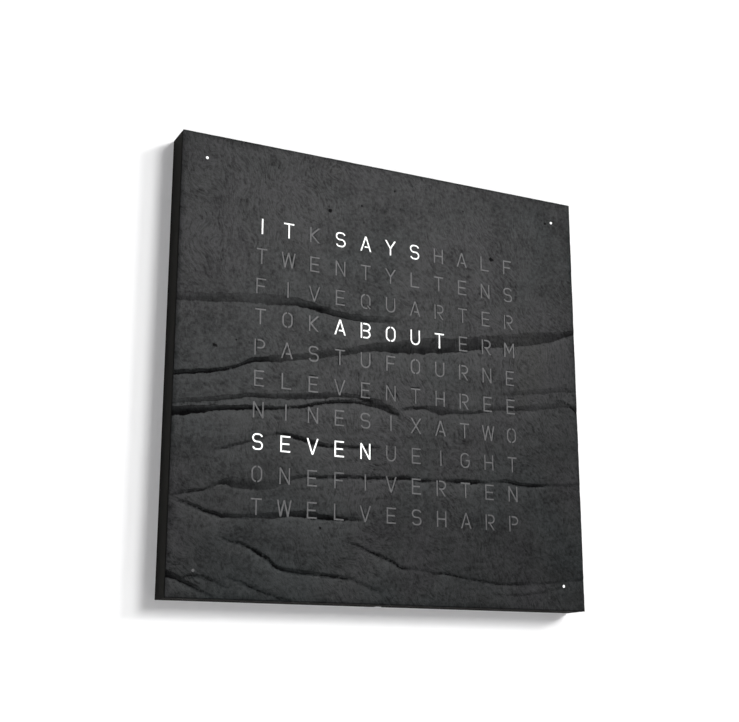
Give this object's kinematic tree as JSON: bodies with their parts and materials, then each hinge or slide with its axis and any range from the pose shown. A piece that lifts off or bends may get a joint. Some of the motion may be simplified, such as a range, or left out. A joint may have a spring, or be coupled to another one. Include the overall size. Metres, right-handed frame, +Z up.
{
  "type": "word clock",
  "caption": "Square slate wall clock that tells the time in lit words, in a black case with a lift-off face, side buttons, keyhole hangers and a recessed power inlet.",
  "frame": {"origin": "middle of the back, on the wall plane", "axes": "+X to the viewer's right, +Y from the face into the wall, +Z up"},
  "size_m": [0.45, 0.032, 0.45],
  "materials": {
    "slate": "natural cleft, matt",
    "carrier_steel": "black powder coat",
    "lit_resin": "translucent cast resin, lit from behind",
    "unlit_resin": "translucent cast resin, unlit",
    "opal_sheet": "opal",
    "zinc_steel": "zinc plated",
    "case_lacquer": "matt black lacquer",
    "raw_wood": "planed birch",
    "panel_board": "black hardboard",
    "hanger_steel": "zinc plated",
    "rivet_aluminium": "satin",
    "magnet_nickel": "nickel plated",
    "white_plastic": "moulded, matt white",
    "circuit_board": "green solder mask",
    "led_package": "white package, yellow phosphor",
    "chip_black": "moulded epoxy",
    "natural_plastic": "natural nylon",
    "flex_polyimide": "amber flat cable",
    "brass_standoff": "turned",
    "crystal_can": "drawn can",
    "black_plastic": "moulded",
    "cell_steel": "stainless",
    "ribbon_grey": "flat cable",
    "ferrite": "ground ferrite",
    "copper_winding": "enamelled copper wire",
    "lead_red": "flat twin lead",
    "switch_black": "moulded",
    "smoked_window": "smoked acrylic",
    "button_plastic": "matt black"
  },
  "bodies": {
    "case": {"top_rail": "case_lacquer", "bottom_rail": "case_lacquer", "left_rail": "case_lacquer", "right_rail": "case_lacquer", "corner_blocks": "raw_wood", "back_panel": "panel_board", "panel_screws": "zinc_steel", "hanger_plates": "hanger_steel", "hanger_rivets": "rivet_aluminium", "magnets": "magnet_nickel", "light_grid": "white_plastic", "led_board": "circuit_board", "leds": "led_package", "led_driver_chips": "chip_black", "grid_posts": "natural_plastic", "grid_screws": "zinc_steel", "corner_tubes": "white_plastic", "corner_boards": "circuit_board", "corner_leds": "led_package", "corner_jumpers": "flex_polyimide", "control_board": "circuit_board", "control_standoffs": "brass_standoff", "control_screws": "zinc_steel", "microcontroller": "chip_black", "clock_chip": "chip_black", "crystal": "crystal_can", "cell_holder": "black_plastic", "coin_cell": "cell_steel", "ribbon_connectors": "black_plastic", "ribbon_cable": "ribbon_grey", "antenna_rod": "ferrite", "antenna_coil": "copper_winding", "antenna_holders": "natural_plastic", "cable_well": "black_plastic", "power_socket": "black_plastic", "power_lead": "lead_red", "button_board": "circuit_board", "button_spacers": "natural_plastic", "button_screws": "zinc_steel", "switch_bodies": "switch_black", "light_sensor": "chip_black", "sensor_window": "smoked_window", "button_lead": "ribbon_grey"},
    "face": {"slate_face": "slate", "carrier_plate": "carrier_steel", "lit_letters": "lit_resin", "unlit_letters": "unlit_resin", "lit_dots": "lit_resin", "unlit_dot": "unlit_resin", "diffuser_sheet": "opal_sheet", "locating_pins": "zinc_steel"},
    "hour_key": {"hour_button": "button_plastic", "hour_plunger": "natural_plastic"},
    "minute_key": {"minute_button": "button_plastic", "minute_plunger": "natural_plastic"},
    "mode_key": {"mode_button": "button_plastic", "mode_plunger": "natural_plastic"}
  },
  "joints": [
    {"name": "face_lift_off", "type": "slide", "parent": "case", "child": "face", "axis": [0, -1, 0], "range_m": [0, 0.06]},
    {"name": "hour_press", "type": "slide", "parent": "case", "child": "hour_key", "axis": [-1, 0, 0], "range_m": [0, 0.0008], "stiffness_N_per_m": 1500},
    {"name": "minute_press", "type": "slide", "parent": "case", "child": "minute_key", "axis": [-1, 0, 0], "range_m": [0, 0.0008], "stiffness_N_per_m": 1500},
    {"name": "mode_press", "type": "slide", "parent": "case", "child": "mode_key", "axis": [-1, 0, 0], "range_m": [0, 0.0008], "stiffness_N_per_m": 1500}
  ]
}
